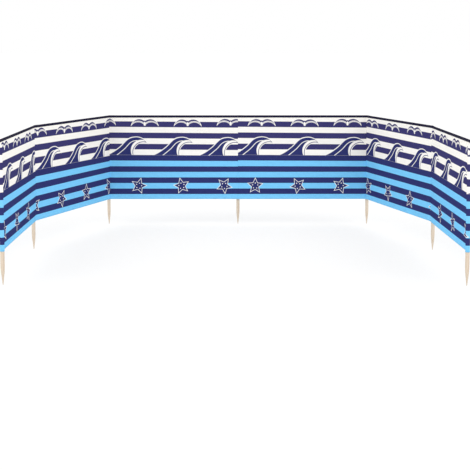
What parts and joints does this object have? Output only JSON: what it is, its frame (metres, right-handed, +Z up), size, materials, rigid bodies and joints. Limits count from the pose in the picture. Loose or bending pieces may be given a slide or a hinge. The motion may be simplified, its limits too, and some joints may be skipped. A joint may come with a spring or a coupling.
{
  "type": "beach windbreak",
  "caption": "Long beach windbreak: bays of taut striped cloth sewn round pointed wooden poles, set out in an arc to stand in sand and shelter people from the wind.",
  "frame": {"origin": "centre of the blunt tip of the middle pole", "axes": "+Z up along the poles, +X to the right along the middle bays, +Y away from the sheltered side"},
  "size_m": [3.8794, 2.799, 1.2],
  "materials": {
    "pole_wood": "smooth sanded pale softwood, unvarnished",
    "bay_cloth": "plain-woven polyester, printed stripes, slight sheen",
    "pocket_cloth": "plain-woven polyester, printed stripes, slight sheen",
    "binding_tape": "dark woven binding tape",
    "hem_cloth": "folded and stitched polyester"
  },
  "bodies": {
    "root": {"pole_1": "pole_wood", "pole_2": "pole_wood", "pole_3": "pole_wood", "pole_4": "pole_wood", "pole_5": "pole_wood", "pole_6": "pole_wood", "pole_7": "pole_wood", "bay_cloth_1": "bay_cloth", "bay_cloth_2": "bay_cloth", "bay_cloth_3": "bay_cloth", "bay_cloth_4": "bay_cloth", "bay_cloth_5": "bay_cloth", "bay_cloth_6": "bay_cloth", "pole_pocket_1": "pocket_cloth", "pole_pocket_2": "pocket_cloth", "pole_pocket_3": "pocket_cloth", "pole_pocket_4": "pocket_cloth", "pole_pocket_5": "pocket_cloth", "pole_pocket_6": "pocket_cloth", "pole_pocket_7": "pocket_cloth", "top_binding_1": "binding_tape", "top_binding_2": "binding_tape", "top_binding_3": "binding_tape", "top_binding_4": "binding_tape", "top_binding_5": "binding_tape", "top_binding_6": "binding_tape", "bottom_hem_1": "hem_cloth", "bottom_hem_2": "hem_cloth", "bottom_hem_3": "hem_cloth", "bottom_hem_4": "hem_cloth", "bottom_hem_5": "hem_cloth", "bottom_hem_6": "hem_cloth"}
  },
  "joints": []
}
